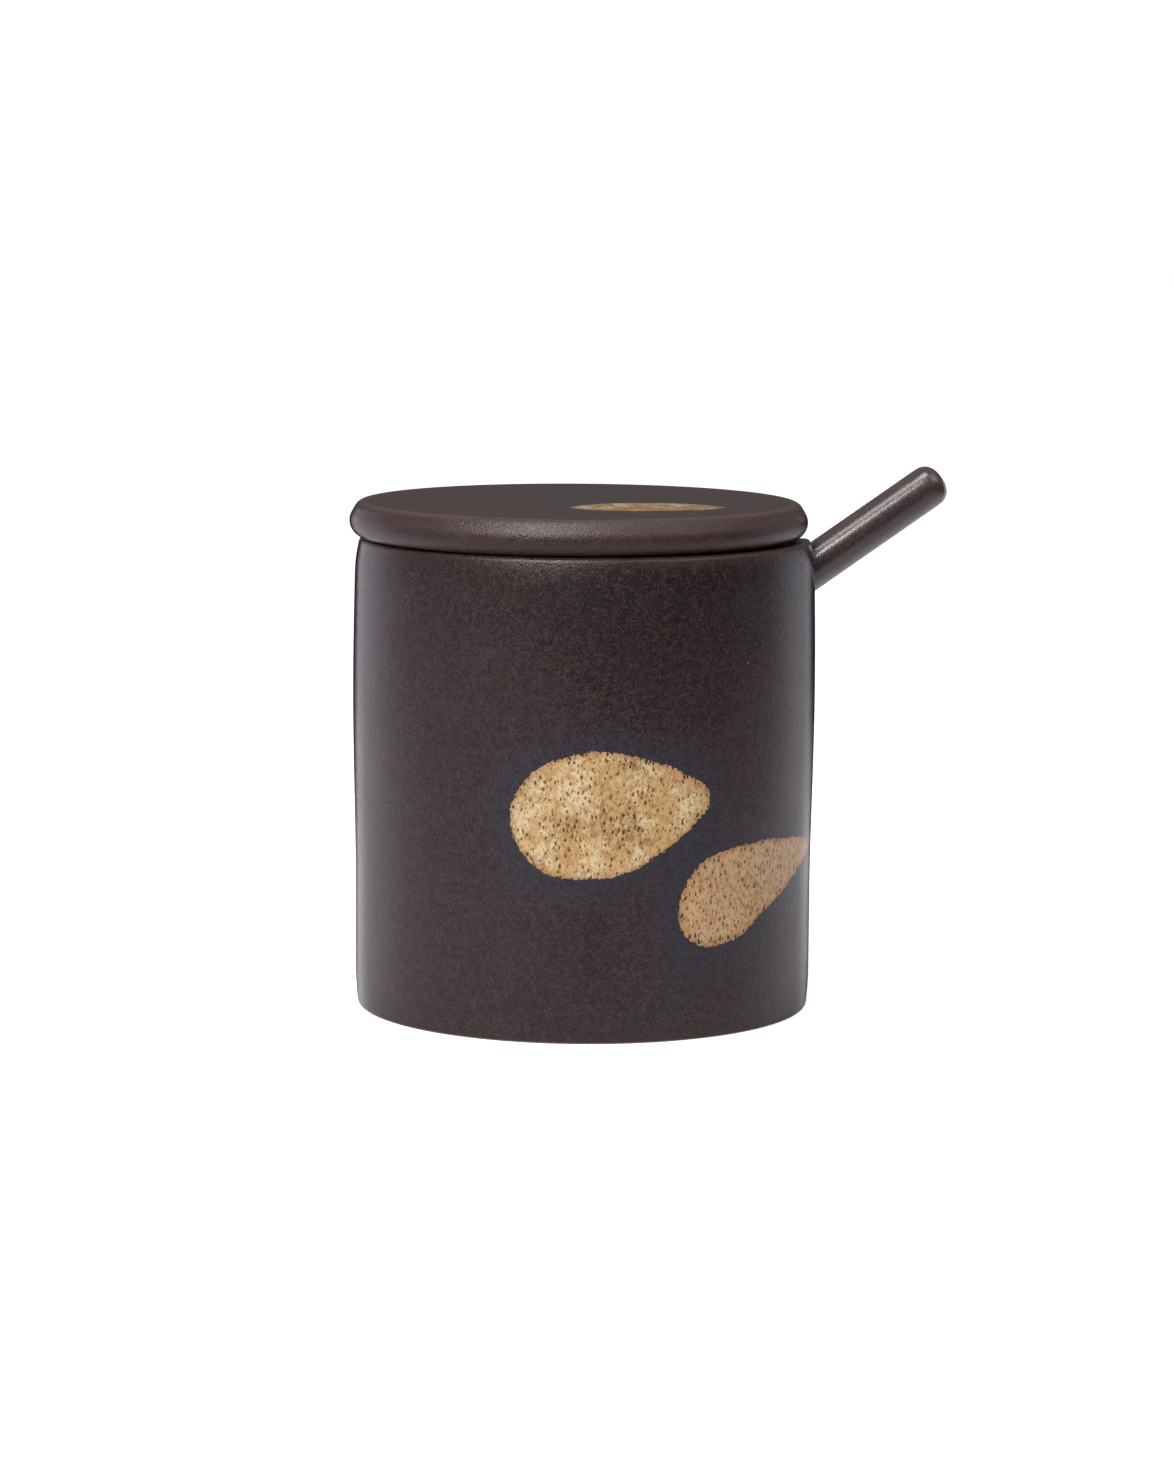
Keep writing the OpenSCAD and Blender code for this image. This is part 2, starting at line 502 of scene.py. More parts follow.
    def spots(
        self, place: Value, size: Value, radius: float, rare: float, space: Space = Space.FLAT
    ) -> Socket:
        """Scatters round spots of many sizes.

        Args:
            place: The place, in millimetres.
            size: The distance between them.
            radius: The radius of the largest as a share of that distance.
            rare: How few of them are large.
            space: Where they lie.

        Returns:
            1 in the middle of a spot, 0 outside.
        """
        node = self.node("TexVoronoi", feature="F1", voronoi_dimensions=space.value)
        self.feed(node, Vector=place, Scale=self.over(1.0, size))
        luck = self.parts(node.outputs["Color"])[0]
        own = self.times(radius, self.sum("POWER", luck, rare))
        return self.slope(self.over(node.outputs["Distance"], self.plus(own, 0.001)), 1.05, 0.6)

    def use(self, effect: type["Effect"], maker: object, **values: Value) -> Sockets:
        """Places an effect's group in this tree.

        Args:
            effect: The effect.
            maker: The finish whose fields, of the inputs' names, give their values.
            **values: The values of the inputs that the finish doesn't give.

        Returns:
            Its outputs by name.
        """
        node = self.node("Group", node_tree=effect.group())
        for socket in node.inputs:
            name = socket.name.lower().replace(" ", "_")
            self.put(socket, values[name] if name in values else getattr(maker, name))
        return {socket.name: socket for socket in node.outputs}


class Effect:
    """A shader node group that several finishes share. It is built once, when it is first used."""

    title = ""
    takes: dict[str, str] = {}
    gives: dict[str, str] = {}

    @classmethod
    def group(cls) -> bpy.types.NodeTree:
        """Gives the group, and builds it the first time.

        Returns:
            The group.
        """
        made = bpy.data.node_groups.get(cls.title)
        if made:
            return made
        tree = bpy.data.node_groups.new(cls.title, "ShaderNodeTree")
        for side, sockets in (("INPUT", cls.takes), ("OUTPUT", cls.gives)):
            for kind, names in sockets.items():
                for name in names.split(", "):
                    tree.interface.new_socket(name=name, in_out=side, socket_type=f"NodeSocket{kind}")
        w = Wiring(tree)
        given = {socket.name: socket for socket in w.node("NodeGroupInput").outputs}
        w.feed(w.node("NodeGroupOutput"), **cls.wire(w, given))
        return tree

    @classmethod
    def wire(cls, w: Wiring, given: Sockets) -> Sockets:
        """Sets the group's nodes.

        Args:
            w: The group's wiring.
            given: Its inputs by name.

        Returns:
            What feeds each output, by name.
        """
        raise NotImplementedError


class Drop(Effect):
    """One brushed drop of resist: an egg that tapers to its tip, with a torn edge."""

    title = "Brushed drop"
    takes = {
        "Vector": "Place, Middle",
        "Float": "Turn, Half length, Half width, Taper, Draw, Bend, Fullness, Tear",
    }
    gives = {"Float": "Inside"}
    slimmest = 0.04

    @classmethod
    def wire(cls, w: Wiring, given: Sockets) -> Sockets:
        """Sets the nodes that tell how far inside the drop a place is, in millimetres.

        Args:
            w: The group's wiring.
            given: Its inputs by name.

        Returns:
            What feeds each output, by name.
        """
        torn = w.stir(w.stir(given["Place"], 8.0, 0.9), 0.9, given["Tear"])
        turned = w.node("VectorRotate", rotation_type="Z_AXIS")
        angle = w.times(given["Turn"], -math.radians(1))
        w.feed(turned, Vector=w.vector("SUBTRACT", torn, given["Middle"]), Angle=angle)
        along, across, _ = w.parts(turned.outputs[0])
        u = w.over(along, given["Half length"])
        bow = w.times(given["Bend"], w.times(u, u))
        slim = w.sum("MAXIMUM", w.minus(1.0, w.times(u, given["Taper"])), cls.slimmest)
        slim = w.sum("POWER", slim, given["Draw"])
        v = w.over(w.over(w.minus(across, bow), given["Half width"]), slim)
        full = given["Fullness"]
        powers = [w.sum("POWER", w.sum("ABSOLUTE", part), full) for part in (u, v)]
        out = w.sum("POWER", w.plus(*powers), w.over(1.0, full))
        near = w.times(w.times(given["Half width"], slim), w.minus(1.0, out))
        ahead = w.times(given["Half length"], w.minus(1.0, w.sum("ABSOLUTE", u)))
        return {"Inside": w.sum("MINIMUM", near, ahead)}


class Resist(Effect):
    """What shows where the resist kept the dark glaze off: tan, cream clouds, smudges and specks."""

    title = "Resist patch"
    takes = {
        "Vector": "Place",
        "Float": "Inside, Clouds, Smudges, Speck size",
        "Color": "Tan, Cream, Smudge, Rim, Iron",
    }
    gives = {"Color": "Color", "Float": "Mask, Height"}
    lean = 24
    stretch = (1.5, 0.8, 1.0)

    @classmethod
    def wire(cls, w: Wiring, given: Sockets) -> Sockets:
        """Sets the nodes of the patch, its specks and its torn rim.

        Args:
            w: The group's wiring.
            given: Its inputs by name.

        Returns:
            What feeds each output, by name.
        """
        place, inside, size = given["Place"], given["Inside"], given["Speck size"]
        drawn = w.node("Mapping", w.stir(w.stir(place, 1.6, 0.5), 0.45, 0.15))
        w.feed(drawn, Rotation=(0, 0, math.radians(cls.lean)), Scale=cls.stretch)
        leaning = drawn.outputs[0]
        coarse = w.spots(leaning, size, 0.34, 1.0)
        fine = w.spots(w.shifted(leaning, 31, 17, 0), w.times(size, 0.6), 0.33, 1.1)
        marks = w.spots(w.shifted(leaning, 12, 54, 0), 2.9, 0.2, 1.2)
        cloud = w.slope(w.noise(w.shifted(place, 5, 3, 9), 5.5, 5.0, 0.62)[0], 0.45, 0.6)
        streak = w.slope(w.noise(leaning, 1.3, 3.0, 0.6)[0], 0.42, 0.62)
        smudge = w.slope(w.noise(w.shifted(place, 40, 8, 2), 9.0, 4.0, 0.62)[0], 0.5, 0.66)
        share = w.times(w.times(smudge, given["Smudges"]), w.plus(0.5, streak))
        rim = w.slope(inside, 1.3, 0.05)
        dark = w.plus(w.slope(inside, 3.0, 0.4, 0.85, 1.0), w.times(smudge, 0.15))
        colour = w.mix(w.times(cloud, given["Clouds"]), given["Tan"], given["Cream"])
        for amount, paint in (
            (w.times(streak, 0.42), "Smudge"),
            (w.times(share, 0.8), "Smudge"),
            (w.times(marks, w.times(share, 1.1)), "Iron"),
            (w.times(rim, 0.65), "Rim"),
            (w.times(fine, 0.85), "Smudge"),
            (w.times(coarse, dark), "Iron"),
        ):
            colour = w.mix(amount, colour, given[paint])
        bites = w.times(w.sum("MAXIMUM", coarse, fine), w.slope(inside, 0.8, 0.3))
        mask = w.times(w.slope(inside, -0.06, 0.14), w.minus(1.0, bites))
        height = w.minus(w.times(rim, 0.5), w.times(coarse, 0.35))
        return {"Color": colour, "Mask": mask, "Height": height}


class Coat(Effect):
    """The dark iron glaze: purple brown, blue-grey clouds, black grain, and brown where it is thin."""

    title = "Iron glaze"
    takes = {
        "Vector": "Place",
        "Color": "Body, Bloom, Grain, Warm, Pale, Halo, Pinhole",
        "Float": "Halo share, Satin, Thin, Pooled, Bloom share, Grain share",
    }
    gives = {"Color": "Color", "Float": "Roughness, Height"}
    grain_size = 0.32

    @classmethod
    def wire(cls, w: Wiring, given: Sockets) -> Sockets:
        """Sets the nodes of the clouds, the grain, the thin edges and the pinholes.

        Args:
            w: The group's wiring.
            given: Its inputs by name.

        Returns:
            What feeds each output, by name.
        """
        place = given["Place"]
        wide = w.noise(place, 26.0, 4.0, 0.55)[0]
        patch = w.noise(w.shifted(place, 70, 20, 50), 7.0, 5.0, 0.62)[0]
        middle = w.noise(w.shifted(place, 9, 9, 9), 1.2, 3.0, 0.6)[0]
        fine = w.noise(place, cls.grain_size, 2.0, 0.65)[0]
        holes = w.spots(w.shifted(place, 3, 1, 4), 9.0, 0.022, 1.6, Space.SOLID)
        sand = w.plus(w.times(fine, 0.7), w.times(middle, 0.3))
        # The darker clouds add black grain.
        amount = w.plus(given["Grain share"], given["Pooled"])
        bloom = w.slope(w.plus(w.times(wide, 0.6), w.times(patch, 0.4)), 0.42, 0.6)
        colour = given["Body"]
        for share, paint in (
            (w.times(bloom, given["Bloom share"]), "Bloom"),
            (w.times(w.slope(sand, 0.52, 0.465), amount), "Grain"),
            (w.times(given["Pooled"], 0.5), "Grain"),
            (w.times(given["Halo share"], w.slope(middle, 0.38, 0.6, 0.45, 1.0)), "Halo"),
            (w.times(w.slope(sand, 0.54, 0.62), w.plus(0.12, w.times(amount, 0.2))), "Pale"),
            (w.times(given["Thin"], w.slope(patch, 0.3, 0.6, 0.55, 1.0)), "Warm"),
            (w.times(holes, 0.8), "Pinhole"),
        ):
            colour = w.mix(share, colour, given[paint])
        satin = w.plus(given["Satin"], w.times(w.minus(wide, 0.5), 0.16))
        satin = w.plus(satin, w.times(w.minus(fine, 0.5), 0.4))
        skin = w.plus(w.times(fine, 1.1), w.times(middle, 0.7))
        return {"Color": colour, "Roughness": satin, "Height": w.minus(skin, w.times(holes, 2.0))}


class Clay(Effect):
    """Bare fired stoneware, sandy and speckled."""

    title = "Bare clay"
    takes = {"Vector": "Place", "Color": "Clay, Dark"}
    gives = {"Color": "Color", "Float": "Height"}

    @classmethod
    def wire(cls, w: Wiring, given: Sockets) -> Sockets:
        """Sets the nodes of the clay's clouds, sand and specks.

        Args:
            w: The group's wiring.
            given: Its inputs by name.

        Returns:
            What feeds each output, by name.
        """
        place, dark = given["Place"], given["Dark"]
        cloud = w.slope(w.noise(place, 6.0, 4.0, 0.6)[0], 0.4, 0.65, 0.0, 0.45)
        specks = w.times(w.spots(place, 0.9, 0.3, 1.0, Space.SOLID), 0.7)
        colour = w.mix(specks, w.mix(cloud, given["Clay"], dark), dark)
        return {"Color": colour, "Height": w.noise(place, 0.35, 3.0, 0.7)[0]}


@dataclass(frozen=True)
class Stroke:
    """One brushed drop, in millimetres on the surface that carries it, and its colours."""

    middle: tuple[float, float, float]
    turn: float
    half_length: float
    half_width: float
    taper: float
    bend: float
    clouds: float
    smudges: float
    tan: Colour
    cream: Colour
    draw: float = 1.0
    fullness: float = 1.85
    tear: float = 0.6
    speck_size: float = 1.3
    smudge: Colour = swatch(150, 104, 55)
    rim: Colour = swatch(178, 128, 74)
    iron: Colour = swatch(98, 54, 16)


@dataclass(frozen=True)
class Glaze:
    """A fired coat of the dark glaze with the drops brushed on it before.

    The drops lie on a round wall of the wall's radius, or on a flat top where that is 0.
    """

    name: str
    body: Colour = swatch(58, 39, 40)
    bloom: Colour = swatch(56, 47, 58)
    grain: Colour = swatch(22, 12, 11)
    warm: Colour = swatch(62, 42, 34)
    pale: Colour = swatch(86, 76, 74)
    halo: Colour = swatch(42, 44, 58)
    pinhole: Colour = (0.42, 0.34, 0.27, 1.0)
    clay: Colour = swatch(168, 138, 108)
    dark: Colour = swatch(112, 84, 62)
    satin: float = 0.33
    bloom_share: float = 0.6
    grain_share: float = 0.8
    skin: float = 0.086
    shine: float = 0.5
    strokes: tuple[Stroke, ...] = ()
    # Soft darker clouds on the drops' surface: each its middle, reach and strength.
    dark_clouds: tuple[tuple[Point, Point, float], ...] = ()
    wall_radius: float = 0.0
    wall_turn: float = 12.0
    top: float = 97.5

    def material(self) -> bpy.types.Material:
        """Builds the material.

        Returns:
            The material, with its Principled shader joined to the effects.
        """
        made = bpy.data.materials.new(self.name)
        made.use_nodes = True
        made.node_tree.nodes.clear()
        w = Wiring(made.node_tree)
        place = w.vector("SCALE", w.node("TexCoord").outputs["Object"], 1 / MM)
        thin, bare = (w.node("Attribute", attribute_name=n).outputs["Fac"] for n in ("thin", "bare"))
        surface, outside = self._surface(w, place)
        insides = [w.use(Drop, stroke, place=surface)["Inside"] for stroke in self.strokes]
        pooled, halo = self._darkened(w, surface, outside), self._halo(w, insides, outside)
        coat = w.use(Coat, self, place=place, halo_share=halo, thin=thin, pooled=pooled)
        colour, rough, height = coat["Color"], coat["Roughness"], coat["Height"]
        for stroke, inside in zip(self.strokes, insides, strict=True):
            patch = w.use(Resist, stroke, place=surface, inside=inside)
            mask = w.times(patch["Mask"], outside)
            colour = w.mix(mask, colour, patch["Color"])
            rough = w.plus(rough, w.times(mask, 0.06))
            height = w.plus(height, w.times(mask, patch["Height"]))
        clay = w.use(Clay, self, place=place)
        colour = w.mix(bare, colour, clay["Color"])
        rough = w.plus(rough, w.times(bare, 0.5))
        height = w.plus(height, w.times(bare, clay["Height"]))
        skimmed = w.slope(w.node("LayerWeight").outputs["Facing"], 0.66, 0.84, 1.0, 0.32)
        bump = w.feed(w.node("Bump"), Height=height, Distance=self.skin * MM, Strength=skimmed)
        shader = w.feed(
            w.node("BsdfPrincipled"),
            Base_Color=colour,
            Roughness=w.times(rough, skimmed),
            Normal=bump.outputs[0],
            IOR=1.5,
            Specular_IOR_Level=self.shine,
        )
        w.feed(w.node("OutputMaterial"), Surface=shader.outputs[0])
        return made

    def _surface(self, w: Wiring, place: Socket) -> tuple[Socket, Socket]:
        """Finds the surface that the drops are drawn on: the wall unrolled, or the top from above.

        Args:
            w: The material's wiring.
            place: The place in millimetres.

        Returns:
            The place on that surface, and a mask of where it is.
        """
        if not self.wall_radius:
            x, y, z = w.parts(place)
            return w.joined(x, y), w.slope(z, self.top, self.top + 0.7)
        x, y, z = w.parts(w.turned(place, self.wall_turn))
        around = w.times(w.sum("ARCTAN2", x, w.times(y, -1.0)), self.wall_radius)
        outside = w.slope(w.minus(w.reach(x, y), self.wall_radius), -2.4, -2.0)
        return w.joined(around, z), outside

    def _darkened(self, w: Wiring, surface: Socket, outside: Socket) -> Socket:
        """Finds where the glaze is darker and more black-grained: soft clouds round given middles, the
        widest just below the rim.

        Args:
            w: The material's wiring.
            surface: The place on the surface.
            outside: The mask of the surface.

        Returns:
            The share of that darkening.
        """
        pooled: Value = 0.0
        for middle, reach, strength in self.dark_clouds:
            away = w.vector("SUBTRACT", w.stir(surface, 9.0, 3.0), (*middle, 0.0))
            x, y, _ = w.parts(w.vector("DIVIDE", away, (*reach, 1.0)))
            pooled = w.plus(pooled, w.slope(w.reach(x, y), 1.0, 0.2, 0.0, strength))
        return w.times(pooled, outside)

    @staticmethod
    def _halo(w: Wiring, insides: list[Socket], outside: Socket) -> Socket:
        """Finds the blue halo that the resist leaves round each drop.

        Args:
            w: The material's wiring.
            insides: How far inside each drop the place is.
            outside: The mask of the surface.

        Returns:
            The share of the halo.
        """
        halo: Value = 0.0
        for inside in insides:
            halo = w.sum("MAXIMUM", halo, w.slope(inside, -8.0, -0.3, 0.0, 0.75))
        return w.times(halo, outside)


@dataclass
class Piece:
    """A fired piece of the set, which stands for the frame's node of its own name."""

    body: Body
    glaze: Glaze

    def model(self) -> Thing:
        """Models the piece at its place in the frame."""
        raise NotImplementedError

    def build(self) -> Thing:
        """Models the piece, glazes it and sets it on its body.

        Returns:
            The finished piece.
        """
        piece = self.model()
        piece.data.materials.clear()
        piece.data.materials.append(self.glaze.material())
        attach(piece, self.body.value)
        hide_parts(self.body.value)
        log.info("%s: %d faces", piece.name, len(piece.data.polygons))
        return piece


@dataclass
class Pot(Piece):
    """The pot: a thrown wall on a foot ring, with a notch for the spoon pressed into its rim."""

    radius: float = 44.7
    height: float = 92.0
    wall: float = 4.5
    belly: float = 0.55
    belly_height: float = 62.0
    belly_reach: float = 40.0
    foot_pinch: float = 0.45
    foot_rise: float = 8.0
    shoulder_pinch: float = 0.9
    shoulder_drop: float = 7.0
    floor: float = 6.5
    hollow: float = 1.5
    foot_width: float = 7.0
    foot_edge: float = 0.8
    foot_inset: float = 0.35
    soft_edge: float = 0.5
    bare_rise: float = 0.25
    floor_corner: float = 8.0
    rim_out: float = 1.2
    rim_in: float = 0.8
    rim_lean: float = 12.0
    rows: int = 72
    turns: int = 288
    notch: float = 4.8
    notch_depth: float = 14.9
    notch_edge: float = 3.0
    softening: float = 0.45
    notch_corner: float = 4.0
    edge_run: float = 9.0
    rim_depth: float = 1.6
    lip_height: float = 3.0
    pressed_height: float = 42.0
    pressed_reach: float = 56.0
    crowding: float = 2.2
    push: float = 4.0
    push_depth: float = 0.2
    push_fade: float = 16.0

    @property
    def middle(self) -> float:
        """The radius of the middle of the wall."""
        return self.radius - self.wall / 2

    def outer(self, z: float) -> float:
        """Gives the wall its belly, its drawn-in foot and its shoulder.

        Args:
            z: A height.

        Returns:
            The outside radius there.
        """
        belly = self.belly * ease(1 - abs(z - self.belly_height) / self.belly_reach)
        foot = self.foot_pinch * max(0, 1 - z / self.foot_rise) ** 2
        shoulder = self.shoulder_pinch * max(0, 1 - (self.height - z) / self.shoulder_drop) ** 2
        return self.radius + belly - foot - shoulder

    def section(self) -> list[Point]:
        """Draws the half section, from the middle of the underside round to that of the floor.

        Returns:
            Its points (radius, height).
        """
        inner, soft = self.radius - self.wall, self.soft_edge
        foot_mid = (self.outer(self.foot_edge) - self.foot_edge, self.foot_edge)
        ledge = foot_mid[0] - self.foot_width - self.hollow
        lean = math.radians(self.rim_lean)
        top = self.height - self.rim_out * (1 - math.sin(lean))
        rim_mid = (self.outer(top) - self.rim_out * math.cos(lean), self.height - self.rim_out)
        rim_turn = (inner + self.rim_in, self.height - self.rim_in)
        corner = (inner - self.floor_corner, self.floor + self.floor_corner)
        side = [between(self.foot_edge, top, i / self.rows) for i in range(1, self.rows)]
        points = [(0.0, self.hollow), *run((0.0, self.hollow), (ledge, self.hollow), 3.0)]
        points += arc((ledge, self.hollow - soft), soft, 90, 40, 3)
        points += arc((ledge + self.hollow + self.foot_inset, soft), soft, 220, 270, 3)
        points += run(points[-1], (foot_mid[0], 0.0), 1.2) + arc(foot_mid, self.foot_edge, -90, 0, 6)
        points += [(self.outer(z), z) for z in side]
        points += arc(rim_mid, self.rim_out, self.rim_lean, 90, 7)
        points += run(points[-1], (rim_turn[0], self.height), 0.45)
        points += arc(rim_turn, self.rim_in, 90, 180, 6)
        points += run(points[-1], (inner, corner[1]), 1.4)
        points += arc(corner, self.floor_corner, 0, -90, 14)
        return points + run(points[-1], (0.0, self.floor), 3.0) + [(0.0, self.floor)]

    def _notch_parts(self) -> tuple[float, float, float]:
        """Lengths of half the notch's round floor, its straight side and its upper corner."""
        side = self.notch_depth - self.notch - self.notch_corner
        return math.pi / 2 * self.notch, side, math.pi / 2 * self.notch_corner

    def notch_line(self, way: float) -> tuple[Point, Point]:
        """Follows the rim from the lowest point of the notch, up its side and out along the rim.

        Args:
            way: How far along that line, in millimetres.

        Returns:
            The point there as (round the wall, up), and the direction into the clay.
        """
        low, side, turn = self._notch_parts()
        base, r = self.height - self.notch_depth + self.notch, self.notch_corner
        if way < low:
            out, down = math.sin(way / self.notch), -math.cos(way / self.notch)
            return (self.notch * out, base + self.notch * down), (out, down)
        if way < low + side:
            return (self.notch, base + way - low), (1.0, 0.0)
        if way < low + side + turn:
            a = (way - low - side) / r
            point = (self.notch + r - r * math.cos(a), self.height - r + r * math.sin(a))
            return point, (math.cos(a), -math.sin(a))
        return (self.notch + r + way - low - side - turn, self.height), (0.0, -1.0)

    def _lip(self, unrolled: float) -> Point:
        """Rounds the edge of the notch, softened where it runs into the wall.

        Args:
            unrolled: The distance over the edge from its crest, towards the outside above zero.

        Returns:
            How far through the wall the point lies from its middle, and how far below the crest.
        """
        half, r = self.wall / 2, self.notch_edge
        full = r * math.asin(half / r)
        points = []
        for shift in range(-2, 3):
            u = unrolled + shift * self.softening
            if abs(u) <= full:
                points.append((r * math.sin(u / r), r * (1 - math.cos(u / r))))
            else:
                points.append((math.copysign(half, u), r * (1 - math.cos(full / r)) + abs(u) - full))
        return sum(p[0] for p in points) / len(points), sum(p[1] for p in points) / len(points)

    def _pushed(self, way: float, s: float, q: float) -> float:
        """Tells how far the clay beside the notch is pushed aside.

        Args:
            way: How far along the notch's line.
            s: How far round the wall the clay was before.
            q: How deep it lies, from 0 at the rim to 1 where nothing moves.

        Returns:
            The distance in millimetres.
        """
        low, side, turn = self._notch_parts()
        top, deep = low + side + turn / 2, q / self.push_depth
        if way < top:
            push = self.push * math.sin(math.pi / 2 * way / top) ** 2
        else:
            push = self.push * math.exp(-(way - top) / self.push_fade)
        return push * (1 - (s / self.pressed_reach) ** 4) * deep * math.exp(1 - deep) * (1 - q)

    def press(self, place: Vector) -> Vector:
        """Presses the notch: a point of the plain wall goes where the clay has moved.

        Args:
            place: The point in millimetres.

        Returns:
            The point after pressing.
        """
        reach, depth = math.hypot(place.x, place.y), self.height - place.z
        around = math.atan2(place.y, place.x) * self.middle
        s, rim = abs(around), self.rim_depth
        inside = reach < self.radius - self.wall - 1
        if depth > self.pressed_height or s > self.pressed_reach or inside:
            return place
        low, side, turn = self._notch_parts()
        spare = low + side + turn - self.notch - self.notch_corner
        way = s + spare * (1 - (1 - s / self.pressed_reach) ** self.crowding)
        point, inward = self.notch_line(way)
        edge = 1 - ease((way - low - side) / self.edge_run)
        through = reach - self.middle
        lip_through, lip_depth = self._lip(math.copysign(abs(through) + depth, through))
        deep = between(depth, lip_depth, edge)
        x, z = (p + i * min(deep, rim) for p, i in zip(point, inward, strict=True))
        if deep > rim:
            q = clip((deep - rim) / (self.pressed_height - rim))
            x = s + (x - s) * (1 - q) + self._pushed(way, s, q)
            z = self.height - deep + (z - self.height + rim) * (1 - q)
        half = self.wall / 2
        skin = self.outer(min(z, self.height - self.rim_out)) - self.middle if through > 0 else half
        through = between(through, lip_through * skin / half, edge)
        if depth > self.lip_height:
            through = math.copysign(self.outer(z) - self.middle if through > 0 else half, through)
        turned, r = math.copysign(x, around) / self.middle, self.middle + through
        return Vector((r * math.cos(turned), r * math.sin(turned), z))

    def model(self) -> Thing:
        """Throws the pot, notes where its glaze is thin or missing, and presses the notch.

        Returns:
            The pot.
        """
        pot = Bench.throw("pot_body", self.section(), self.turns)
        Bench.note(pot, "thin", self._thin)
        Bench.note(pot, "bare", self._bare)
        Bench.lay(pot, [self.press(v.co / MM) for v in pot.data.vertices])
        Bench.smooth(pot)
        return pot

    def _thin(self, place: Vector) -> float:
        """Tells how thin the glaze runs: over the rim, on the shoulder and at the foot.

        Args:
            place: A corner's place.

        Returns:
            A share from 0 to 1.
        """
        depth = self.height - place.z
        rim = bump_at(depth, 0.0, 1.3)
        if math.hypot(place.x, place.y) <= self.middle:
            return rim
        return max(rim, 0.06 * bump_at(depth, 0.0, 5.5), 0.5 * bump_at(place.z, 0.0, 1.2))

    def _bare(self, place: Vector) -> float:
        """Tells whether a place is on the foot ring's sole, which is wiped bare for the firing."""
        ring = self.radius - 2 * self.foot_width
        return float(place.z < self.bare_rise and math.hypot(place.x, place.y) > ring)


@dataclass
class Lid(Piece):
    """The lid: a disc with a leaning, rounded edge, and the flange that keeps it in the mouth."""

    radius: float = 44.7
    thickness: float = 7.0
    low_edge: float = 3.2
    top_edge: float = 2.0
    lean: float = 30.0
    flange_radius: float = 38.6
    flange_wall: float = 3.0
    flange_height: float = 5.0
    flange_edge: float = 0.9
    flange_root: float = 0.3
    root: float = 1.5
    thin_reach: float = 42.3
    bare_reach: float = 41.0
    seat: Vector = field(default_factory=lambda: Vector((-1.28, 0.0, 92.0)))
    turns: int = 288

    def section(self) -> list[Point]:
        """Draws the half section, from the middle of the underside round to that of the top.

        Returns:
            Its points (radius, height).
        """
        inner, lean = self.flange_radius - self.flange_wall, math.radians(self.lean)
        low_mid = (self.radius - self.low_edge, self.low_edge)
        top_z = self.thickness - self.top_edge
        side = low_mid[0] * math.cos(lean) + low_mid[1] * math.sin(lean)
        side += self.low_edge - self.top_edge
        top_mid = ((side - top_z * math.sin(lean)) / math.cos(lean), top_z)
        e, root = self.flange_edge, self.flange_root
        low = e - self.flange_height
        points = [(0.0, 0.0), *run((0.0, 0.0), (inner - self.root, 0.0), 3.0)]
        points += arc((inner - self.root, -self.root), self.root, 90, 0, 6)
        points += run(points[-1], (inner, low), 0.8) + arc((inner + e, low), e, 180, 270, 5)
        points += arc((self.flange_radius - e, low), e, -90, 0, 5)
        points += run(points[-1], (self.flange_radius, -root), 0.8)
        points += arc((self.flange_radius + root, -root), root, 180, 90, 3)
        points += run(points[-1], (low_mid[0], 0.0), 0.8)
        points += arc(low_mid, self.low_edge, -90, self.lean, 20)
        over = arc(top_mid, self.top_edge, self.lean, 90, 10)
        points += run(points[-1], over[0], 0.5) + over
        return points + run(points[-1], (0.0, self.thickness), 2.0) + [(0.0, self.thickness)]

    def model(self) -> Thing:
        """Throws the lid and sets it on the pot's rim.

        Returns:
            The lid.
        """
        lid = Bench.throw("lid_disc", self.section(), self.turns)
        Bench.note(lid, "thin", self._thin)
        Bench.note(lid, "bare", self._bare)
        Bench.lay(lid, [v.co / MM + self.seat for v in lid.data.vertices])
        Bench.smooth(lid)
        return lid

    def _thin(self, place: Vector) -> float:
        """Tells how thin the glaze runs: on the flange, over the upper edge, a little on the nose.

        Args:
            place: A corner's place.

        Returns:
            A share from 0 to 1.
        """
        reach = math.hypot(place.x, place.y)
        if place.z < 0:
            return 0.4
        upper = bump_at(reach, self.thin_reach, 0.8) if place.z > 5.5 else 0.0
        nose = 0.15 * bump_at(place.z, 5.0, 1.4) if reach > 40 else 0.0
        return max(upper, nose)

    def _bare(self, place: Vector) -> float:
        """Tells where the lid is left bare to stand on the rim while it is fired.

        Args:
            place: A corner's place.

        Returns:
            A share from 0 to 1.
        """
        reach = math.hypot(place.x, place.y)
        seat = place.z < 0.02 and reach > self.flange_radius - 0.1
        return clip((self.bare_reach - reach) / 0.4) if seat else 0.0


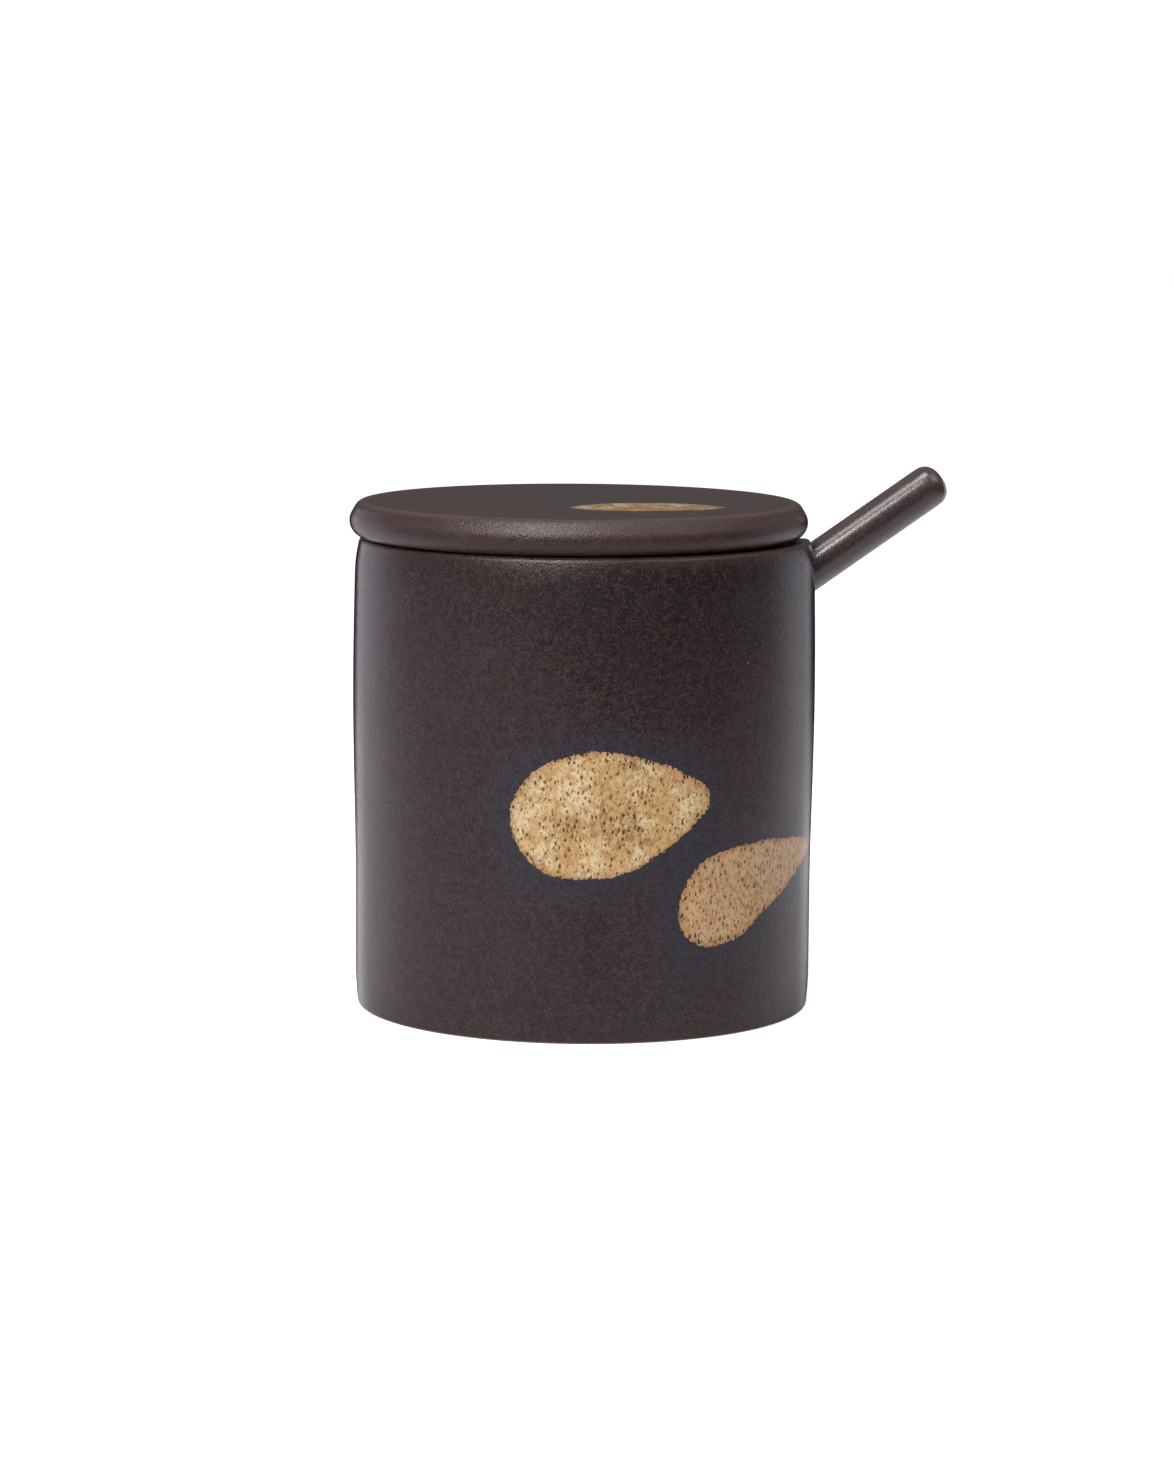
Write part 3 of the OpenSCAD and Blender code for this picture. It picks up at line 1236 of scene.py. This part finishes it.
@dataclass
class Spoon(Piece):
    """The spoon: a round handle that bends into a shank and spreads into a cupped bowl."""

    handle: float = 4.2
    slope: float = 33.7
    rest: Vector = field(default_factory=lambda: Vector((38.2895, 0.0, 80.3398)))
    out: float = 40.4
    end_edge: float = 3.0
    end_rise: float = 0.06
    end_ring: float = 0.55
    reach_in: float = 6.0
    bend: float = 26.0
    shank: float = 65.0
    length: float = 34.0
    half_width: float = 13.0
    depth: float = 8.0
    half_wall: float = 1.8
    tip_slope: float = -5.0
    low_point: float = 6.8
    widest: float = 0.58
    spread_from: float = 0.1
    cupped_from: float = 0.15
    thin_at: float = 0.45
    lip_fullness: float = 0.55
    sides: int = 28

    @property
    def swell(self) -> float:
        """What a ring is drawn larger by, so that rounding brings it to its size."""
        return 3 / (2 + math.cos(math.tau / self.sides))

    @staticmethod
    def along(slope: float) -> Vector:
        """The direction up a slope in degrees, seen from the side."""
        return Vector((math.cos(math.radians(slope)), 0, math.sin(math.radians(slope))))

    @staticmethod
    def above(slope: float) -> Vector:
        """The direction square to a slope, on its upper side."""
        return Vector((-math.sin(math.radians(slope)), 0, math.cos(math.radians(slope))))

    def ring(
        self, mid: Vector, slope: float, wide: float, thick: float, rise: float = 0.0, full: float = 1.0
    ) -> list[Vector]:
        """Draws one ring of the spoon.

        Args:
            mid: Where the spoon's line passes.
            slope: The line's slope there.
            wide: Half the ring's width.
            thick: Half its thickness.
            rise: How far its two sides rise.
            full: 1 for an ellipse, less to keep the wall thick up to a rounded edge.

        Returns:
            The ring's points.
        """
        points = []
        for i in range(self.sides):
            across, upright = math.cos(math.tau * i / self.sides), math.sin(math.tau * i / self.sides)
            at_side = i % (self.sides // 2) == 0
            through = 0.0 if at_side else math.copysign(abs(upright) ** full, upright)
            through *= thick * self.swell
            tilt = math.atan2(2 * rise * across, wide)
            up = rise * across**2 + through * math.cos(tilt)
            side = wide * self.swell * across - through * math.sin(tilt)
            points.append(mid + self.above(slope) * up + Vector((0, side, 0)))
        return points

    def rod(self, mid: Vector, slope: float, radius: float) -> list[Vector]:
        """Draws one round ring of the handle, its bend or its shank."""
        return self.ring(mid, slope, radius, radius)

    def bowl_line(self, share: float) -> Vector:
        """Follows the line of the neck and bowl.

        Args:
            share: From 0 at the shank's end to 1 at the tip.

        Returns:
            The point there, from the line's start.
        """
        turn = self.length / math.radians(self.shank - self.tip_slope)
        slope, front = between(self.shank, self.tip_slope, share), self.length * (1 - self.widest)
        lift = max(0.0, self.depth - front**2 / (2 * turn))
        lift *= clip((share - self.widest) / (1 - self.widest)) ** 2
        return turn * (self.above(self.shank) - self.above(slope)) + lift * self.above(slope)

    def bowl_ring(self, start: Vector, share: float) -> list[Vector]:
        """Draws one ring of the neck or bowl.

        Args:
            start: Where their line starts.
            share: How far along it the ring is.

        Returns:
            The ring's points.
        """

        def grown(low: float) -> float:
            """How far a form has grown that starts at a share and is full at the widest ring."""
            return ease((share - low) / (self.widest - low))

        def run_out(low: float) -> float:
            """What is left of a form that closes towards the tip from a share on."""
            return math.sqrt(max(0.0, 1 - clip((share - low) / (1 - low)) ** 2))

        spread, front = grown(self.spread_from), run_out(self.widest)
        wall = between(self.handle, self.half_wall, ease(share / self.thin_at))
        return self.ring(
            start + self.bowl_line(share),
            between(self.shank, self.tip_slope, share),
            between(self.handle, self.half_width, spread) * front,
            wall * run_out(1 - self.half_wall / self.length),
            self.depth * grown(self.cupped_from) * front**2,
            between(1.0, self.lip_fullness, spread),
        )

    def rings(self) -> list[list[Vector]]:
        """Draws all the rings, from the end of the handle to the tip of the bowl.

        Returns:
            The rings, each with as many points.
        """
        up, edge = self.along(self.slope), self.end_edge
        rings = [self.rod(self.rest + up * (self.out + self.end_rise), self.slope, self.end_ring)]
        # its rounded end, and the straight handle
        for i in range(7):
            a = math.radians(90 * i / 6)
            mid = self.rest + up * (self.out - edge * (1 - math.cos(a)))
            rings.append(self.rod(mid, self.slope, self.handle - edge * (1 - math.sin(a))))
        for i in range(1, 16):
            at = between(self.out - edge, -self.reach_in, i / 16)
            rings.append(self.rod(self.rest + up * at, self.slope, self.handle))
        # the bend
        turn = self.rest - up * self.reach_in - self.above(self.slope) * self.bend
        for i in range(11):
            slope = between(self.slope, self.shank, i / 10)
            rings.append(self.rod(turn + self.above(slope) * self.bend, slope, self.handle))
        # the straight shank, long enough to bring the bowl down to its place
        stations = [self.widest * i / 18 for i in range(19)]
        ends = [math.sin(math.radians(90 * i / 15)) for i in range(1, 15)]
        stations += [between(self.widest, 1.0, end) for end in ends]
        low = min(p.z for s in stations for p in self.bowl_ring(Vector(), s))
        bend_end = turn + self.above(self.shank) * self.bend
        drop = (bend_end.z - (self.low_point - low)) / math.sin(math.radians(self.shank))
        start = bend_end - self.along(self.shank) * drop
        rings += [self.rod(bend_end.lerp(start, i / 6), self.shank, self.handle) for i in range(1, 6)]
        # the neck and the bowl
        rings += [self.bowl_ring(start, s) for s in stations]
        return rings + [[start + self.bowl_line(1.0)] * self.sides]

    def model(self) -> Thing:
        """Draws the spoon out from the end of its handle to the tip of its bowl.

        Returns:
            The spoon.
        """
        rings = self.rings()
        spoon = Bench.draw_out("spoon_drawn", rings, rings[-1][0])
        Bench.refine(spoon, 1)
        Bench.note(spoon, "thin", self._thin)
        Bench.note(spoon, "bare", lambda p: 0.0)
        Bench.smooth(spoon)
        return spoon

    def _thin(self, place: Vector) -> float:
        """Tells how thin the glaze runs on the rounded end of the handle."""
        end = self.rest + self.along(self.slope) * self.out
        return 0.55 * bump_at((place - end).length, 0.0, 7.0)


@dataclass(frozen=True)
class Lamp:
    """A soft panel of light, placed as seen from the camera: round the object, and up."""

    name: str
    around: float
    rise: float
    distance: float
    width: float
    height: float
    light: float
    tint: tuple[float, float, float] = (1.0, 1.0, 1.0)

    def hang(self, azimuth: float, target: Vector) -> None:
        """Hangs the lamp.

        Args:
            azimuth: The camera's azimuth in degrees.
            target: What the lamp points at, in millimetres.
        """
        back = towards(azimuth + self.around, self.rise)
        panel = bpy.data.lights.new(self.name, "AREA")
        panel.shape, panel.size, panel.size_y = "RECTANGLE", self.width * MM, self.height * MM
        panel.energy = self.light * math.pi * panel.size * panel.size_y
        panel.color = self.tint
        stand = bpy.data.objects.new(self.name, panel)
        stand.location = (target + back * self.distance) * MM
        stand.rotation_mode = "QUATERNION"
        stand.rotation_quaternion = (-back).to_track_quat("-Z", "Y")
        stand.visible_camera = False
        bpy.context.scene.collection.objects.link(stand)


@dataclass
class Studio:
    """The plain pale floor, the soft light and the camera at the photograph's angle."""

    azimuth: float = -12.0
    elevation: float = 7.93
    distance: float = 900.0
    target: Vector = field(default_factory=lambda: Vector((0.0, 0.0, 50.0)))
    aim: Point = (0.65, 3.16)
    roll: float = 0.4
    lens: float = 112.4
    # Where the floor's painted reflections lie: how their dark middle widens behind the object, their
    # side edge and their front edge, in metres.
    reflection_flare: float = 0.33
    reflection_edge: Point = (0.0435, 0.0475)
    reflection_front: Point = (-0.04, 0.02)
    horizon: float = 0.085
    zenith: float = 0.42
    lamps: tuple[Lamp, ...] = (
        Lamp("overhead_front", -26.0, 44.0, 900.0, 400.0, 240.0, 18.5),
        Lamp("overhead", -30.0, 76.0, 900.0, 320.0, 320.0, 7.0),
        Lamp("overhead_right", 62.0, 50.0, 900.0, 620.0, 460.0, 1.4),
        Lamp("left_wall", -62.0, 0.3, 900.0, 1500.0, 110.0, 1.2, (1.0, 0.95, 0.97)),
        Lamp("left_strip", -129.5, 5.0, 300.0, 194.0, 150.0, 1.15, (0.93, 0.88, 1.0)),
        Lamp("right_strip", 129.0, 5.0, 300.0, 144.0, 150.0, 1.05, (0.87, 0.88, 1.0)),
    )

    def build(self) -> None:
        """Sets up the floor, the light and the camera."""
        view = bpy.context.scene.view_settings
        view.view_transform, view.look, view.exposure, view.gamma = "Standard", "None", 0.0, 1.0
        self._floor()
        self._surroundings()
        for lamp in self.lamps:
            lamp.hang(self.azimuth, self.target)
        self._camera()

    def _floor(self) -> None:
        """Lays a plain pale floor, which shows white with a faint shadow.

        To all rays but the camera's it is painted grey before the object, dark behind it and far off, and
        white beside it: painted reflections, which the glaze mirrors as its light and dark bands.
        """
        Bench.take(None)
        bpy.ops.mesh.primitive_plane_add(size=12.0, location=(0, 0, 0))
        floor = bpy.context.object
        floor.name = floor.data.name = "floor"
        paint = bpy.data.materials.new("pale_floor")
        paint.use_nodes = True
        w = Wiring(paint.node_tree)
        # Painted reflections and bounce light: to all rays but the camera's the floor is grey before the
        # object, dark behind it, white beside it and near black far off.
        seen = w.node("LightPath").outputs["Is Camera Ray"]
        x, y, _ = w.parts(w.turned(w.node("TexCoord").outputs["Object"], -self.azimuth))
        off_middle = w.minus(w.sum("ABSOLUTE", x), w.times(y, self.reflection_flare))
        beside = w.slope(off_middle, *self.reflection_edge)
        painted_reflections = w.mix(beside, grey(0.2), (1.0, 0.98, 1.0, 1.0))
        painted_reflections = w.mix(w.slope(y, *self.reflection_front), (0.62, 0.62, 0.64, 1.0), painted_reflections)
        far = w.mix(beside, grey(0.02), grey(0.12))
        edge = w.slope(beside, 0.0, 1.0, 0.3, 0.57)
        reflected_floor = w.mix(w.slope(w.reach(x, y), 0.14, edge), painted_reflections, far)
        w.feed(
            paint.node_tree.nodes["Principled BSDF"],
            Base_Color=w.mix(seen, reflected_floor, grey(0.92)),
            Emission_Color=w.mix(seen, grey(0.0), grey(1.0)),
            Emission_Strength=0.72,
            Roughness=0.9,
            Specular_IOR_Level=0.0,
        )
        floor.data.materials.append(paint)

    def _surroundings(self) -> None:
        """Fills the room with even light from above, and shows it white behind the object."""
        world = bpy.data.worlds.new("studio_room")
        bpy.context.scene.world = world
        world.use_nodes = True
        world.node_tree.nodes.clear()
        w = Wiring(world.node_tree)
        rise = w.parts(w.node("TexCoord").outputs["Generated"])[2]
        light = w.slope(rise, 0.0, 0.9, self.horizon, self.zenith)
        dim = w.node("Background", (1.0, 0.93, 0.91, 1.0), light)
        bright = w.node("Background", grey(1.0), 1.05)
        seen = w.node("LightPath").outputs["Is Camera Ray"]
        room = w.node("MixShader", seen, dim.outputs[0], bright.outputs[0])
        w.feed(w.node("OutputWorld"), Surface=room.outputs[0])

    def _camera(self) -> None:
        """Sets the camera where the photograph was taken from."""
        a = math.radians(self.azimuth)
        back, right = towards(self.azimuth, self.elevation), Vector((math.cos(a), math.sin(a), 0))
        place, up = self.target + back * self.distance, back.cross(right)
        aim = self.target + right * self.aim[0] + up * self.aim[1]
        back = (place - aim).normalized()
        right = up.cross(back).normalized()
        facing = Matrix((right, back.cross(right), back)).transposed()
        facing = Matrix.Rotation(math.radians(self.roll), 3, back) @ facing
        camera = bpy.data.objects.new("camera", bpy.data.cameras.new("camera"))
        camera.data.lens, camera.data.sensor_width = self.lens, 36.0
        camera.data.clip_start, camera.data.clip_end = 0.01, 50.0
        camera.matrix_world = Matrix.Translation(place * MM) @ facing.to_4x4()
        bpy.context.scene.collection.objects.link(camera)
        bpy.context.scene.camera = camera


ROUND_DROP = Stroke(
    middle=(5.6, 44.0, 0.0),
    turn=8.0,
    half_length=19.8,
    half_width=11.7,
    taper=0.31,
    bend=0.2,
    clouds=0.8,
    smudges=0.7,
    tan=swatch(213, 173, 118),
    cream=swatch(236, 215, 170),
)
LONG_DROP = Stroke(
    middle=(41.2, 30.5, 0.0),
    turn=12.8,
    half_length=23.5,
    half_width=6.5,
    taper=0.46,
    draw=2.0,
    bend=-2.3,
    fullness=2.1,
    clouds=0.25,
    smudges=0.35,
    speck_size=1.35,
    # Its tan is drawn lighter to stand in for the light falling on the pot's right side: partly the
    # drop's own colour, partly painted light.
    tan=swatch(210, 172, 128),
    cream=swatch(220, 190, 146),
)
LID_DROP = Stroke(
    middle=(8.8, -15.2, 0.0),
    turn=-6.3,
    half_length=15.0,
    half_width=9.1,
    taper=0.03,
    bend=-1.4,
    clouds=1.0,
    smudges=0.8,
    tan=swatch(188, 146, 92),
    cream=swatch(228, 206, 162),
)
POT_GLAZE = Glaze(
    "pot_glaze",
    strokes=(ROUND_DROP, LONG_DROP),
    dark_clouds=(
        ((8.0, 90.0), (64.0, 20.0), 0.5),
        ((12.0, 80.0), (30.0, 32.0), 0.5),
        ((2.6, 20.0), (3.4, 14.0), 0.4),
    ),
    wall_radius=45.0,
)
LID_GLAZE = Glaze(
    "lid_glaze",
    body=swatch(64, 43, 40),
    warm=swatch(80, 57, 48),
    satin=0.35,
    skin=0.108,
    strokes=(LID_DROP,),
    grain_share=0.4,
    bloom_share=0.3,
)
SPOON_GLAZE = Glaze(
    "spoon_glaze", body=swatch(68, 50, 47), grain_share=0.5, satin=0.23, skin=0.016, shine=1.0
)


def main() -> None:
    """Loads the frame, builds the three pieces and the studio, and reports each."""
    logging.basicConfig(level=logging.INFO, format="%(name)s %(message)s")
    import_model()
    for piece in (Pot(Body.POT, POT_GLAZE), Lid(Body.LID, LID_GLAZE), Spoon(Body.SPOON, SPOON_GLAZE)):
        piece.build()
    Studio().build()


if __name__ == "__main__":
    main()
